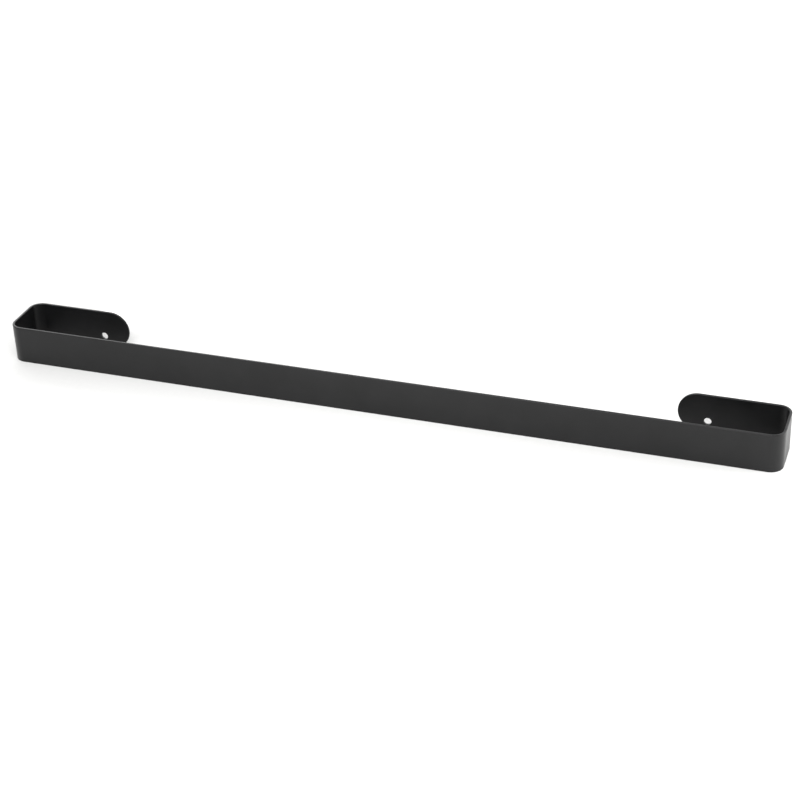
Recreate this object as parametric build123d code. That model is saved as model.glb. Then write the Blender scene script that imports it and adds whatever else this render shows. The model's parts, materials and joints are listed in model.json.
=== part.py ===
"""A wall-mounted towel bar, folded from one flat metal strip.

Millimetres, +Z up. The wall is the plane Y = 0 and the bar stands in front of it, towards -Y.
The origin is on the wall, midway between the two screw holes.
"""
from build123d import *
import os

# Driving dimensions
BAR_LENGTH = 600.0  # overall, across the outer faces of the two end legs
STRIP_WIDTH = 30.0  # height of the strip on the wall
STRIP_THICKNESS = 2.0
TOWEL_GAP = 40.0  # clear depth between the bar's back face and the front faces of the wall tabs
BEND_INNER_RADIUS = 8.0  # inside of all four folds
TAB_LENGTH = 82.0  # from the outer face of an end leg to the tip of its wall tab
HOLE_DIAMETER = 5.5  # plain screw hole in each wall tab
HOLE_FROM_TIP = 22.0  # hole's centre to the tab's tip
HOLE_ABOVE_EDGE = 8.5  # hole's centre to the strip's lower edge
EDGE_RADIUS = 0.6  # softened rims of the strip
HOLE_EDGE_RADIUS = 0.3  # softened rims of the screw holes

# Sizes and places that follow
HALF_THICKNESS = STRIP_THICKNESS / 2
DEPTH = TOWEL_GAP + 2 * STRIP_THICKNESS  # wall to the bar's front face
HALF_LENGTH = BAR_LENGTH / 2
TIP_RADIUS = STRIP_WIDTH / 2  # full-round tab end
TIP_X = HALF_LENGTH - TAB_LENGTH
HOLE_X = TIP_X + HOLE_FROM_TIP
LOWER_EDGE = -HOLE_ABOVE_EDGE
MID_HEIGHT = LOWER_EDGE + STRIP_WIDTH / 2
LEAST_FLAT = 0.1  # share of the thickness that stays flat between two rims
MOST_RIM = (1 - LEAST_FLAT) * HALF_THICKNESS
RIM_RADIUS = min(EDGE_RADIUS, MOST_RIM)
HOLE_RIM_RADIUS = min(HOLE_EDGE_RADIUS, MOST_RIM)
CUT_DEPTH = 2 * STRIP_THICKNESS  # a cutter at the wall plane reaches through a tab with this depth each way


def folded_strip():
    """The strip bent four times: wall tab, leg, bar, leg and wall tab, with square tab ends."""
    leg_x = HALF_LENGTH - HALF_THICKNESS
    tab_y = -HALF_THICKNESS
    bar_y = HALF_THICKNESS - DEPTH
    middle_line = FilletPolyline(
        (-TIP_X, tab_y),
        (-leg_x, tab_y),
        (-leg_x, bar_y),
        (leg_x, bar_y),
        (leg_x, tab_y),
        (TIP_X, tab_y),
        radius=BEND_INNER_RADIUS + HALF_THICKNESS,
    )
    plan = trace(middle_line, line_width=STRIP_THICKNESS)
    return Pos(0, 0, LOWER_EDGE) * extrude(plan, STRIP_WIDTH, dir=(0, 0, 1))


def wall_peg(radius, x, z):
    """A round cutter square to the wall, through the tabs."""
    return Pos(x, 0, z) * Rot(90, 0, 0) * Cylinder(radius, 2 * CUT_DEPTH)


def tab_cuts():
    """What comes off the right-hand tab: the corners outside its full-round tip, and its screw hole."""
    tip_block = Pos(TIP_X + TIP_RADIUS / 2, 0, MID_HEIGHT) * Box(TIP_RADIUS, 2 * CUT_DEPTH, STRIP_WIDTH)
    tip_corners = tip_block - wall_peg(TIP_RADIUS, TIP_X + TIP_RADIUS, MID_HEIGHT)
    return tip_corners + wall_peg(HOLE_DIAMETER / 2, HOLE_X, 0)


def rims(bar, closed):
    """The edges between a broad face and a cut one: closed at the holes, open along the strip.

    The fold lines, which run along Z, and the short lines across the thickness are smooth already.
    """
    long_edges = bar.edges().filter_by(lambda edge: edge.length > STRIP_THICKNESS + RIM_RADIUS)
    return long_edges.filter_by(Axis.Z, reverse=True).filter_by(lambda edge: edge.is_closed == closed)


def soften_rims(bar):
    """Rounds the rims of the holes, then those of the strip."""
    bar = fillet(rims(bar, closed=True), HOLE_RIM_RADIUS)
    return fillet(rims(bar, closed=False), RIM_RADIUS)


def towel_bar():
    """The finished piece: the folded strip with round tab ends, screw holes and softened rims."""
    cuts = tab_cuts()
    return soften_rims(folded_strip() - cuts - mirror(cuts, Plane.YZ))


os.makedirs("parts", exist_ok=True)
export_step(towel_bar(), "parts/towel_bar.step")
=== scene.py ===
"""Looks of a wall-mounted towel bar, folded from one black powder-coated steel strip.

The strip is worked out as a flat blank with round ends and two holes, as a maker cuts it, and is then
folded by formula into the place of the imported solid. Lengths are metres in the part's own frame:
+X along the bar, +Y into the wall, +Z up.
"""
import json
import logging
import math
from dataclasses import dataclass
from enum import Enum

import bpy
import numpy as np
from mathutils import Matrix, Vector
from numpy.typing import NDArray


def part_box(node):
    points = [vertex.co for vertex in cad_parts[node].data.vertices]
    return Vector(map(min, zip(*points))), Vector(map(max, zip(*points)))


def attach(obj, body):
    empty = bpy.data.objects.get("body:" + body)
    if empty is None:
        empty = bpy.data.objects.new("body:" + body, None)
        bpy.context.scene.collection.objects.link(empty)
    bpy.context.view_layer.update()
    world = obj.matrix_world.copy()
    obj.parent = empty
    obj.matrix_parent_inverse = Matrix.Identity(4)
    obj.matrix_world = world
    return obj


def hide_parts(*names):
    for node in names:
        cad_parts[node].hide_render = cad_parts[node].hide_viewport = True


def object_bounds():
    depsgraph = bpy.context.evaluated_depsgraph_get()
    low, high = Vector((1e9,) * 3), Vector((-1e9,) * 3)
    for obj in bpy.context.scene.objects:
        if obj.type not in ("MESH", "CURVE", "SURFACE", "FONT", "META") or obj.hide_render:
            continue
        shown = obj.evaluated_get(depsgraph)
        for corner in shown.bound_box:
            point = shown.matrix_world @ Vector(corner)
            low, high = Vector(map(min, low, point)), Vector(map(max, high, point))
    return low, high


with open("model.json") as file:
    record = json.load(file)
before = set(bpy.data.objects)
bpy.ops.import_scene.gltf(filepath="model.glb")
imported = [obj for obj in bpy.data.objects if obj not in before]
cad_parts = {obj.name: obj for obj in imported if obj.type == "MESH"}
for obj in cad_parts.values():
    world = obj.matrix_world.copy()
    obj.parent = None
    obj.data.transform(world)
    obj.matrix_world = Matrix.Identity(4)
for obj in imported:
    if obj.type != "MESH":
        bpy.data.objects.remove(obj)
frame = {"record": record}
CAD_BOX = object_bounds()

Floats = NDArray[np.float64]
Integers = NDArray[np.int64]
Sockets = dict[str, bpy.types.NodeSocket]

LOG = logging.getLogger("towel_bar")
MM = 0.001
QUARTER_TURN = math.pi / 2
EDGE_ATTRIBUTE = "edge"


class Side(Enum):
    """The two ends of the strip, by the sign of their distance from the bar's middle."""

    LEFT = -1
    RIGHT = 1


class Face(Enum):
    """The strip's broad faces, by the sign of their distance from its middle surface."""

    INNER = -1
    OUTER = 1


def linear_colour(hex_colour: str) -> tuple[float, float, float, float]:
    """Turns an sRGB hex colour into linear light.

    Each channel c becomes c / 12.92 up to 0.04045, and ((c + 0.055) / 1.055) ** 2.4 above it.

    Args:
        hex_colour: Six hex digits after a hash sign.

    Returns:
        Linear red, green and blue, and an alpha of 1.
    """
    srgb = np.array([int(hex_colour[start:start + 2], 16) for start in (1, 3, 5)]) / 255
    light = np.where(srgb <= 0.04045, srgb / 12.92, ((srgb + 0.055) / 1.055) ** 2.4)
    return (*light.tolist(), 1.0)


def add_node(tree: bpy.types.NodeTree, kind: str, settings: dict[str, object], links: Sockets) -> Sockets:
    """Adds one shader node.

    Args:
        tree: The node tree that gets it.
        kind: Blender's name for the kind of node.
        settings: Values by input socket, or by property where no input is called that.
        links: Source sockets by the input that they feed.

    Returns:
        The node's output sockets by their identifiers.
    """
    node = tree.nodes.new(kind)
    inputs = {socket.identifier: socket for socket in node.inputs}
    for name, value in settings.items():
        if name in inputs:
            inputs[name].default_value = value
        else:
            setattr(node, name, value)
    for name, source in links.items():
        tree.links.new(source, inputs[name])
    return {socket.identifier: socket for socket in node.outputs}


def empty_material(name: str) -> bpy.types.Material:
    """Makes a material whose node tree holds nothing yet.

    Args:
        name: The real material and how its surface was made.

    Returns:
        The new material.
    """
    material = bpy.data.materials.new(name)
    material.use_nodes = True
    material.node_tree.nodes.clear()
    return material


def mesh_object(name: str, vertices: Floats, quads: Integers) -> bpy.types.Object:
    """Puts a surface into the scene, at the origin, shaded smooth.

    Args:
        name: The object's name.
        vertices: One row of three coordinates for each point.
        quads: One row of four point numbers for each face.

    Returns:
        The new object.
    """
    mesh = bpy.data.meshes.new(name)
    mesh.from_pydata(vertices.tolist(), [], quads.tolist())
    mesh.polygons.foreach_set("use_smooth", np.ones(len(quads), dtype=bool))
    mesh.update()
    made = bpy.data.objects.new(name, mesh)
    bpy.context.scene.collection.objects.link(made)
    return made


@dataclass(frozen=True)
class PowderCoat:
    """Matt black polyester powder, sprayed on steel and baked until it flows together.

    It gives the eye a deep even black with a low sheen that rises along grazing views. Close to, there
    is a pebbled grain over longer waves, and faint clouds where the powder lay thicker. Along the cut
    edges the coat draws thin as it bakes, and hands and towels rub it a little paler and smoother there,
    in some places more than in others.
    """

    thin: str = "#0a0a0b"
    thick: str = "#111112"
    rubbed: str = "#1b1b1c"
    cloud: float = 28 * MM
    cloud_detail: float = 3.0
    # Real pebbles are about 0.3 mm across, too fine to show, so they are drawn twice as coarse.
    grain: float = 0.6 * MM
    grain_detail: float = 2.0
    grain_height: float = 0.045 * MM
    flow: float = 5 * MM
    flow_detail: float = 1.0
    flow_height: float = 0.03 * MM
    rub_patch: float = 9 * MM
    rub_detail: float = 2.0
    least_rub: float = 0.3
    # Most of a noise lies in this middle range, which is stretched to the whole of 0 to 1.
    noise_low: float = 0.35
    noise_high: float = 0.65
    smoothest: float = 0.3
    roughest: float = 0.37
    rubbed_roughness: float = 0.28
    # Polyester's own index is about 1.5. The low sheen of this coat is matched by a little less.
    ior: float = 1.4

    def material(self) -> bpy.types.Material:
        """Builds the coat on Object coordinates and the strip's own edge attribute.

        Clouds mix the colour and the roughness, two depths of noise make the bump, and the edge attribute
        times a patchy noise says how far a place is rubbed.

        Returns:
            The finished material.
        """
        material = empty_material("black_polyester_powder_coat_sprayed_and_baked")
        tree = material.node_tree
        place = {"Vector": add_node(tree, "ShaderNodeTexCoord", {}, {})["Object"]}
        clouds, pebbles, waves, patches = (
            add_node(tree, "ShaderNodeTexNoise", {"Scale": 1 / size, "Detail": detail}, place)["Fac"]
            for size, detail in (
                (self.cloud, self.cloud_detail),
                (self.grain, self.grain_detail),
                (self.flow, self.flow_detail),
                (self.rub_patch, self.rub_detail),
            )
        )
        stretch = {"From Min": self.noise_low, "From Max": self.noise_high}
        depth = add_node(tree, "ShaderNodeMapRange", stretch, {"Value": clouds})["Result"]
        edge = add_node(tree, "ShaderNodeAttribute", {"attribute_name": EDGE_ATTRIBUTE}, {})["Fac"]
        patchy = add_node(
            tree, "ShaderNodeMapRange", {**stretch, "To Min": self.least_rub}, {"Value": patches}
        )["Result"]
        rubbed = add_node(
            tree, "ShaderNodeMath", {"operation": "MULTIPLY"}, {"Value": edge, "Value_001": patchy}
        )["Value"]
        sprayed = add_node(
            tree,
            "ShaderNodeMix",
            {
                "data_type": "RGBA",
                "A_Color": linear_colour(self.thin),
                "B_Color": linear_colour(self.thick),
            },
            {"Factor_Float": depth},
        )["Result_Color"]
        colour = add_node(
            tree,
            "ShaderNodeMix",
            {"data_type": "RGBA", "B_Color": linear_colour(self.rubbed)},
            {"Factor_Float": rubbed, "A_Color": sprayed},
        )["Result_Color"]
        matt = add_node(
            tree, "ShaderNodeMapRange", {"To Min": self.smoothest, "To Max": self.roughest}, {"Value": depth}
        )["Result"]
        roughness = add_node(
            tree,
            "ShaderNodeMix",
            {"B_Float": self.rubbed_roughness},
            {"Factor_Float": rubbed, "A_Float": matt},
        )["Result_Float"]
        flowed = add_node(
            tree, "ShaderNodeBump", {"Distance": self.flow_height}, {"Height": waves}
        )["Normal"]
        pebbled = add_node(
            tree, "ShaderNodeBump", {"Distance": self.grain_height}, {"Height": pebbles, "Normal": flowed}
        )["Normal"]
        coat = add_node(
            tree,
            "ShaderNodeBsdfPrincipled",
            {"IOR": self.ior},
            {"Base Color": colour, "Roughness": roughness, "Normal": pebbled},
        )["BSDF"]
        add_node(tree, "ShaderNodeOutputMaterial", {}, {"Surface": coat})
        return material


@dataclass(frozen=True)
class BackdropPaper:
    """Matt white paper off a roll, as studios lay it under small goods.

    It gives the eye an even pale ground with no gloss and a faint mottle.
    """

    colour: str = "#f6f6f5"
    fleck: str = "#f2f2f1"
    # Real tooth is well under 1 mm, too fine to show, so it is drawn as a mottle of 4 mm.
    tooth: float = 4 * MM
    tooth_detail: float = 2.0
    roughness: float = 0.95
    gloss: float = 0.0

    def material(self) -> bpy.types.Material:
        """Builds the paper on Object coordinates.

        Returns:
            The finished material.
        """
        material = empty_material("white_backdrop_paper_rolled")
        tree = material.node_tree
        place = {"Vector": add_node(tree, "ShaderNodeTexCoord", {}, {})["Object"]}
        flecks = add_node(
            tree, "ShaderNodeTexNoise", {"Scale": 1 / self.tooth, "Detail": self.tooth_detail}, place
        )["Fac"]
        colour = add_node(
            tree,
            "ShaderNodeMix",
            {
                "data_type": "RGBA",
                "A_Color": linear_colour(self.colour),
                "B_Color": linear_colour(self.fleck),
            },
            {"Factor_Float": flecks},
        )["Result_Color"]
        paper = add_node(
            tree,
            "ShaderNodeBsdfPrincipled",
            {"Roughness": self.roughness, "Specular IOR Level": self.gloss},
            {"Base Color": colour},
        )["BSDF"]
        add_node(tree, "ShaderNodeOutputMaterial", {}, {"Surface": paper})
        return material


@dataclass(frozen=True)
class Patch:
    """A grid of points. On the flat blank, a point is along the strip, across it and out of it."""

    points: Floats
    turned: bool = False

    def quads(self) -> Integers:
        """Numbers the corners of the quads between neighbouring rows and columns.

        Returns:
            One row of four point numbers for each quad, in the order that faces outwards.
        """
        rows, columns = self.points.shape[:2]
        number = np.arange(rows * columns).reshape(rows, columns)
        corners = (number[:-1, :-1], number[1:, :-1], number[1:, 1:], number[:-1, 1:])
        quads = np.stack(corners, axis=-1).reshape(-1, 4)
        return quads[:, ::-1] if self.turned else quads


@dataclass(frozen=True)
class FoldedStrip:
    """The towel bar: one strip with a tab, a leg, the bar, a leg and a tab, folded square four times.

    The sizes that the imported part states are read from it. On the flat blank, along is the distance
    from the bar's middle, across is the height above the strip's middle and out is the distance from
    the middle surface towards the outer face.
    """

    length: float
    depth: float
    width: float
    middle_height: float
    hole_spacing: float
    hole_radius: float
    hole_height: float
    thickness: float = 2 * MM
    bend_inner: float = 8 * MM
    hole_to_tip: float = 22 * MM
    rim: float = 0.6 * MM
    hole_rim: float = 0.3 * MM
    bar_steps: int = 48
    bend_steps: int = 24
    leg_steps: int = 4
    tab_steps: int = 6
    tip_steps: int = 64
    rim_steps: int = 6
    across_steps: int = 6
    # Where the rings of a tab end lie, from the hole's rim at 0 to the flat's edge at 1.
    ring_shares: tuple[float, ...] = (0.0, 0.03, 0.1, 0.25, 0.5, 0.75, 0.9, 0.97, 1.0)
    # How much of a tab, from its tip, is laid out in rings round the hole.
    end_reach: float = 36 * MM
    # How close to a rim the outermost lines run, so that the broad face shades flat up to it.
    guard: float = 0.3 * MM
    # Points that agree to this many decimals of a metre are welded into one.
    weld_places: int = 9

    @classmethod
    def from_frame(cls) -> "FoldedStrip":
        """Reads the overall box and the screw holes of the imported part.

        Returns:
            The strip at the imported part's size and place.
        """
        low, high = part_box("towel_bar")
        screws = next(mount for mount in frame["record"]["mounts"] if mount["name"] == "wall_screws")
        middle_height = (low.z + high.z) / 2
        return cls(
            length=high.x - low.x,
            depth=high.y - low.y,
            width=high.z - low.z,
            middle_height=middle_height,
            hole_spacing=screws["dims"]["spacing_x_mm"] * MM,
            hole_radius=screws["dims"]["hole_r_mm"] * MM,
            hole_height=screws["pos_m"][2] - middle_height,
        )

    @property
    def half_thickness(self) -> float:
        """Distance from the middle surface to a broad face."""
        return self.thickness / 2

    @property
    def bend_radius(self) -> float:
        """Radius of a fold at the middle surface."""
        return self.bend_inner + self.half_thickness

    @property
    def bend_length(self) -> float:
        """Length of the middle line round one fold."""
        return self.bend_radius * QUARTER_TURN

    @property
    def half_bar(self) -> float:
        """Flat half-length of the bar between its folds."""
        return self.length / 2 - self.bend_inner - self.thickness

    @property
    def leg(self) -> float:
        """Flat length of a leg between its folds."""
        return self.depth - 2 * (self.bend_inner + self.thickness)

    @property
    def tab_start(self) -> float:
        """Distance along the blank where a tab leaves its fold."""
        return self.half_bar + 2 * self.bend_length + self.leg

    @property
    def tip(self) -> float:
        """Distance along the blank of a tab's tip."""
        return self.hole_along + self.hole_to_tip

    @property
    def hole_along(self) -> float:
        """Distance along the blank of a screw hole."""
        return self.tab_start + self.half_bar - self.hole_spacing / 2

    @property
    def end_start(self) -> float:
        """Distance along the blank where the long grid hands over to the one round the hole."""
        return self.tip - self.end_reach

    @property
    def round_start(self) -> float:
        """Distance along the blank where a tab's round end begins."""
        return self.tip - self.width / 2

    @property
    def flat_half(self) -> float:
        """Half-width of the flat between the two softened rims."""
        return self.width / 2 - self.rim

    def fold(self, flat: Floats) -> Floats:
        """Folds points of the flat blank into their places on the towel bar.

        Going out from the bar's middle, the heading turns by the angle a in the front fold and by c in
        the back one, each the length gone into that fold over the middle radius R. With l gone along the
        leg and s along the tab, the middle line is at
        x = min(along, half_bar) + R sin a - R (1 - cos c) - s and
        y = half the thickness - depth + R (1 - cos a) + l + R sin c.
        The point stands off it by out times the normal (sin(a + c), -cos(a + c)). The left half is the
        right half's mirror.

        Args:
            flat: Points as along, across and out, in the last axis.

        Returns:
            The folded points as x, y and z, in the same shape.
        """
        along, across, out = np.moveaxis(flat, -1, 0)
        gone = np.abs(along)
        radius = self.bend_radius
        back_fold = self.half_bar + self.bend_length + self.leg
        front_turn = np.clip(gone - self.half_bar, 0, self.bend_length) / radius
        on_leg = np.clip(gone - self.half_bar - self.bend_length, 0, self.leg)
        back_turn = np.clip(gone - back_fold, 0, self.bend_length) / radius
        on_tab = np.clip(gone - self.tab_start, 0, None)
        heading = front_turn + back_turn
        x = np.minimum(gone, self.half_bar) + radius * np.sin(front_turn)
        x = x - radius * (1 - np.cos(back_turn)) - on_tab
        y = self.half_thickness - self.depth + radius * (1 - np.cos(front_turn))
        y = y + on_leg + radius * np.sin(back_turn)
        x = np.sign(along) * (x + out * np.sin(heading))
        return np.stack([x, y - out * np.cos(heading), across + self.middle_height], axis=-1)

    def stations(self) -> Floats:
        """Distances along the blank of the long grid's rows, close together in the folds.

        Returns:
            Rising distances, the same to the left of the middle as to the right.
        """
        stretches = (
            (0.0, self.half_bar, self.bar_steps),
            (self.half_bar, self.half_bar + self.bend_length, self.bend_steps),
            (self.half_bar + self.bend_length, self.tab_start - self.bend_length, self.leg_steps),
            (self.tab_start - self.bend_length, self.tab_start, self.bend_steps),
            (self.tab_start, self.end_start, self.tab_steps),
        )
        right = np.concatenate([np.linspace(start, end, steps + 1)[1:] for start, end, steps in stretches])
        return np.concatenate([-right[::-1], [0.0], right])

    def across_lines(self) -> Floats:
        """Heights of the long grid's columns, with a guard line close to each rim."""
        inner = np.linspace(self.guard - self.flat_half, self.flat_half - self.guard, self.across_steps + 1)
        return np.concatenate([[-self.flat_half], inner, [self.flat_half]])

    def end_edge(self) -> tuple[Floats, Floats]:
        """Walks the flat's edge round the right-hand tab end, from the lower corner to the upper one.

        Along the straights the way out is straight down or up. Round the tip it is (cos q, sin q) for
        q from -90 to 90 degrees, and the flat's edge is its half-width out from the round end's centre.

        Returns:
            Points as along and across, and the unit vectors that point out of the outline there.
        """
        straight = np.linspace(self.end_start, self.round_start, self.tab_steps + 1)[:-1]
        turn = np.linspace(-QUARTER_TURN, QUARTER_TURN, self.tip_steps + 1)
        round_way = np.stack([np.cos(turn), np.sin(turn)], axis=-1)
        round_edge = round_way * self.flat_half + [self.round_start, 0.0]
        down = np.broadcast_to([0.0, -1.0], (len(straight), 2))
        lower = np.stack([straight, np.full_like(straight, -self.flat_half)], axis=-1)
        points = np.concatenate([lower, round_edge, (lower * [1, -1])[::-1]])
        ways = np.concatenate([down, round_way, -down])
        return points, ways

    def outline(self) -> tuple[Floats, Floats]:
        """Walks the flat's whole edge once round, turning left, and back to its first point.

        Returns:
            Points as along and across, and the unit vectors that point out of the outline there.
        """
        end_points, end_ways = self.end_edge()
        stations = self.stations()[1:-1]
        lower = np.stack([stations, np.full_like(stations, -self.flat_half)], axis=-1)
        down = np.broadcast_to([0.0, -1.0], lower.shape)
        points = np.concatenate([lower, end_points, -lower, -end_points, lower[:1]])
        ways = np.concatenate([down, end_ways, -down, -end_ways, down[:1]])
        return points, ways

    def rim_profile(self, rim: float) -> tuple[Floats, Floats]:
        """Section of a softened edge, from the outer face round to the inner one.

        Two quarter circles of the rim's radius: for q from 0 to 90 degrees the edge stands rim sin q past
        the flat's end, at half the thickness - rim (1 - cos q) above the middle, and the mirror of that.

        Args:
            rim: The radius.

        Returns:
            How far each point stands past the flat's end, and its height above the middle surface.
        """
        turn = np.linspace(0, QUARTER_TURN, self.rim_steps + 1)
        past = rim * np.sin(turn)
        height = self.half_thickness - rim * (1 - np.cos(turn))
        return np.concatenate([past, past[::-1]]), np.concatenate([height, -height[::-1]])

    def long_sheet(self, face: Face) -> Patch:
        """The broad face from one tab to the other, as a grid of stations by lines across.

        Args:
            face: Which broad face.

        Returns:
            Its patch.
        """
        along, across = np.meshgrid(self.stations(), self.across_lines(), indexing="ij")
        out = np.full_like(along, face.value * self.half_thickness)
        return Patch(np.stack([along, across, out], axis=-1), turned=face is Face.INNER)

    def end_loop(self, side: Side) -> tuple[Floats, Floats]:
        """The edge of a tab end's flat, once round the hole, turning left, and back to its first point.

        Args:
            side: Which tab.

        Returns:
            Points as along and across, and the unit vectors from the hole's centre towards them.
        """
        across = self.across_lines()[::-1]
        joint = np.stack([np.full_like(across, self.end_start), across], axis=-1)
        points = np.concatenate([self.end_edge()[0], joint[1:]])
        if side is Side.LEFT:
            points = (points * [-1, 1])[::-1]
        away = points - [side.value * self.hole_along, self.hole_height]
        return points, away / np.linalg.norm(away, axis=-1, keepdims=True)

    def end_sheet(self, side: Side, face: Face) -> Patch:
        """A tab end's broad face: rings between the hole's rim and the flat's edge.

        With v from 0 at the hole to 1 at the edge, a point is (1 - v) times the hole rim's point plus v
        times the edge's point in the same direction from the hole's centre.

        Args:
            side: Which tab.
            face: Which broad face.

        Returns:
            Its patch.
        """
        edge, away = self.end_loop(side)
        centre = np.array([side.value * self.hole_along, self.hole_height])
        hole = centre + away * (self.hole_radius + self.hole_rim)
        share = np.array(self.ring_shares)[:, None, None]
        rings = (1 - share) * hole + share * edge
        out = np.full(rings.shape[:2] + (1,), face.value * self.half_thickness)
        return Patch(np.concatenate([rings, out], axis=-1), turned=face is Face.INNER)

    def hole_wall(self, side: Side) -> Patch:
        """A screw hole's wall with its two softened rims: the rim's section carried round the hole.

        A point is the hole's centre plus the way out to the edge there, times the hole's radius and rim
        less how far the section stands past the flat's end.

        Args:
            side: Which tab.

        Returns:
            Its patch.
        """
        away = self.end_loop(side)[1]
        past, height = self.rim_profile(self.hole_rim)
        centre = np.array([side.value * self.hole_along, self.hole_height])
        wall = centre + away[:, None, :] * (self.hole_radius + self.hole_rim - past)[None, :, None]
        out = np.broadcast_to(height[None, :, None], wall.shape[:2] + (1,))
        return Patch(np.concatenate([wall, out], axis=-1))

    def outer_edge(self) -> Patch:
        """The strip's cut edge with its two softened rims: the rim's section carried round the outline.

        A point is the outline's point plus the way out of it there, times how far the section stands
        past the flat's end.

        Returns:
            Its patch.
        """
        points, ways = self.outline()
        past, height = self.rim_profile(self.rim)
        wall = points[:, None, :] + ways[:, None, :] * past[None, :, None]
        out = np.broadcast_to(height[None, :, None], wall.shape[:2] + (1,))
        return Patch(np.concatenate([wall, out], axis=-1), turned=True)

    def edge_share(self, flat: Floats) -> Floats:
        """Depth of points below their broad face over the rim's radius: 0 on a face, 1 on a cut edge."""
        return np.clip((self.half_thickness - np.abs(flat[:, 2])) / self.rim, 0, 1)

    def build(self) -> bpy.types.Object:
        """Joins the patches into one closed skin, folds it and puts it in the place of the solid.

        Returns:
            The towel bar's object.
        """
        patches = [self.long_sheet(face) for face in Face]
        patches += [self.end_sheet(side, face) for side in Side for face in Face]
        patches += [self.hole_wall(side) for side in Side]
        patches.append(self.outer_edge())
        starts = np.cumsum([0] + [patch.points.size // 3 for patch in patches])
        flat = np.concatenate([patch.points.reshape(-1, 3) for patch in patches])
        quads = np.concatenate([patch.quads() + start for patch, start in zip(patches, starts)])
        _, first_seen, shared = np.unique(
            np.round(flat, self.weld_places), axis=0, return_index=True, return_inverse=True
        )
        points = flat[first_seen]
        LOG.info("blank: %d points welded to %d", len(flat), len(points))
        bar = mesh_object("powder_coated_towel_bar", self.fold(points), shared.reshape(-1)[quads])
        edge = bar.data.attributes.new(EDGE_ATTRIBUTE, "FLOAT", "POINT")
        edge.data.foreach_set("value", self.edge_share(points))
        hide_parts("towel_bar")
        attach(bar, "root")
        return bar

    def dress(self, bar: bpy.types.Object, finish: PowderCoat) -> None:
        """Gives the bar its finish."""
        bar.data.materials.append(finish.material())


@dataclass(frozen=True)
class PhotoCamera:
    """A camera where the photograph was taken from: to the right of the bar's middle and above it.

    The angles are in degrees, and the lens is in millimetres.
    """

    turn: float = 19.98
    tilt: float = 30.32
    roll: float = 2.11
    distance: float = 1423.1 * MM
    aim: tuple[float, float, float] = (5.8 * MM, 0.0, -20.6 * MM)
    lens: float = 84.366

    def build(self) -> bpy.types.Object:
        """Places the camera and makes it the scene's own.

        The view heads along (-sin turn cos tilt, cos turn cos tilt, -sin tilt), and its level right hand,
        (cos turn, sin turn, 0), is then rolled about that heading.

        Returns:
            The camera's object.
        """
        turn, tilt, roll = (math.radians(angle) for angle in (self.turn, self.tilt, self.roll))
        heading = Vector(
            (-math.sin(turn) * math.cos(tilt), math.cos(turn) * math.cos(tilt), -math.sin(tilt))
        )
        level = Vector((math.cos(turn), math.sin(turn), 0.0))
        down = heading.cross(level)
        right = math.cos(roll) * level + math.sin(roll) * down
        up = math.sin(roll) * level - math.cos(roll) * down
        data = bpy.data.cameras.new("photo_camera")
        data.lens = self.lens
        camera = bpy.data.objects.new("photo_camera", data)
        bpy.context.scene.collection.objects.link(camera)
        turned = Matrix((right, up, -heading)).transposed().to_4x4()
        camera.matrix_world = Matrix.Translation(Vector(self.aim) - heading * self.distance) @ turned
        bpy.context.scene.camera = camera
        return camera


@dataclass(frozen=True)
class Softbox:
    """A lamp behind white cloth: a flat, evenly bright rectangle that stays out of the picture."""

    name: str
    place: tuple[float, float, float]
    aim: tuple[float, float, float]
    width: float
    height: float
    radiance: float

    def build(self) -> bpy.types.Object:
        """Hangs the lamp and turns it to face its aim.

        An even rectangle of radiance L and area A gives off the power pi L A.

        Returns:
            The lamp's object.
        """
        data = bpy.data.lights.new(self.name, "AREA")
        data.shape = "RECTANGLE"
        data.size = self.width
        data.size_y = self.height
        data.energy = math.pi * self.radiance * self.width * self.height
        lamp = bpy.data.objects.new(self.name, data)
        bpy.context.scene.collection.objects.link(lamp)
        turned = (Vector(self.aim) - Vector(self.place)).to_track_quat("-Z", "Y").to_matrix().to_4x4()
        lamp.matrix_world = Matrix.Translation(self.place) @ turned
        lamp.visible_camera = False
        return lamp


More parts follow.
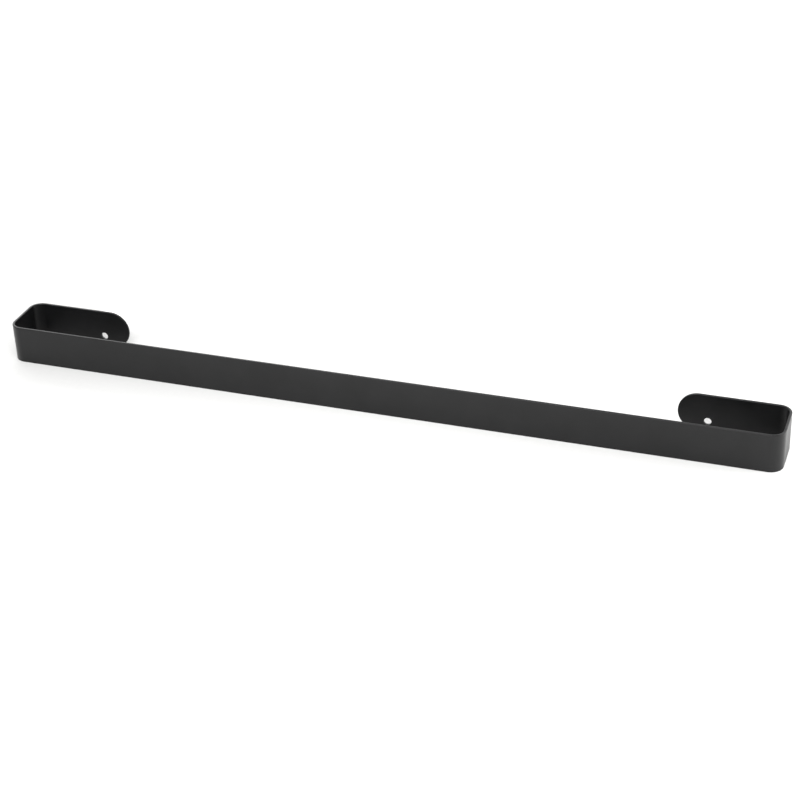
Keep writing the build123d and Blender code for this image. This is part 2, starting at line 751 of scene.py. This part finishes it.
SOFTBOXES = (
    # Level panels over the floor in front: a broad one, and a small one close in that makes the bar's
    # middle a little paler than its ends. The front face shows both by way of the pale floor.
    Softbox(
        "front_panel", place=(0.0, -1.8, 1.3), aim=(0.0, -1.8, 0.0), width=2.4, height=1.6, radiance=5.0
    ),
    Softbox(
        "front_spot", place=(0.0, -0.26, 0.28), aim=(0.0, -0.26, 0.0), width=0.3, height=0.15, radiance=3.8
    ),
    # A low panel off the right end, which gives its leg a bright outer face and its fold a soft rise.
    Softbox(
        "right_panel", place=(0.51, 0.04, 0.13), aim=(0.3, -0.02, 0.0), width=0.4, height=0.24, radiance=3.25
    ),
    # A small panel behind the left tab and lower than its top, so that the floor seen through the
    # screw hole is nearly as pale as the rest.
    Softbox(
        "left_tab_panel",
        place=(-0.262, 0.05, 0.006),
        aim=(-0.245, 0.013, -0.0085),
        width=0.08,
        height=0.02,
        radiance=2.5,
    ),
    # Level panels behind, for the floor and the strip's upper edge. They hardly touch the front.
    Softbox(
        "left_back_panel", place=(-1.3, 1.5, 0.9), aim=(-1.3, 1.5, 0.0), width=1.6, height=1.6, radiance=2.6
    ),
    Softbox(
        "right_back_panel", place=(1.3, 1.5, 0.9), aim=(1.3, 1.5, 0.0), width=1.6, height=1.6, radiance=1.25
    ),
    Softbox(
        "back_panel", place=(0.0, 2.0, 1.2), aim=(0.0, 2.0, 0.0), width=1.8, height=1.6, radiance=1.0
    ),
)


@dataclass(frozen=True)
class Studio:
    """A plain pale floor in a white room, under soft light."""

    floor_level: float
    floor_size: float = 8.0
    floor_lines: int = 3
    floor_drop: float = 0.02 * MM
    room_colour: str = "#ffffff"
    surround: float = 0.5
    softboxes: tuple[Softbox, ...] = SOFTBOXES

    def build_floor(self, paper: BackdropPaper) -> bpy.types.Object:
        """Lays the floor, a flat grid, just under the bar's lower edge.

        Args:
            paper: The floor's finish.

        Returns:
            The floor's object.
        """
        reach = np.linspace(-self.floor_size / 2, self.floor_size / 2, self.floor_lines)
        x, y = np.meshgrid(reach, reach, indexing="ij")
        level = np.full_like(x, self.floor_level - self.floor_drop)
        patch = Patch(np.stack([x, y, level], axis=-1))
        floor = mesh_object("studio_floor", patch.points.reshape(-1, 3), patch.quads())
        floor.data.materials.append(paper.material())
        return floor

    def build_light(self) -> None:
        """Hangs the softboxes in a white room, and shows the light without any film response."""
        for softbox in self.softboxes:
            softbox.build()
        world = bpy.data.worlds.new("white_room")
        world.use_nodes = True
        world.node_tree.nodes.clear()
        room = add_node(
            world.node_tree,
            "ShaderNodeBackground",
            {"Color": linear_colour(self.room_colour), "Strength": self.surround},
            {},
        )["Background"]
        add_node(world.node_tree, "ShaderNodeOutputWorld", {}, {"Surface": room})
        bpy.context.scene.world = world
        bpy.context.scene.view_settings.view_transform = "Standard"


def main() -> None:
    """Builds the towel bar, its finish, the floor, the light and the camera, in that order."""
    logging.basicConfig(level=logging.INFO, format="%(name)s: %(message)s")
    strip = FoldedStrip.from_frame()
    bar = strip.build()
    strip.dress(bar, PowderCoat())
    LOG.info("%s: %d faces", bar.name, len(bar.data.polygons))
    studio = Studio(floor_level=CAD_BOX[0].z)
    floor = studio.build_floor(BackdropPaper())
    studio.build_light()
    camera = PhotoCamera().build()
    LOG.info("%s and %s are in place", floor.name, camera.name)


if __name__ == "__main__":
    main()
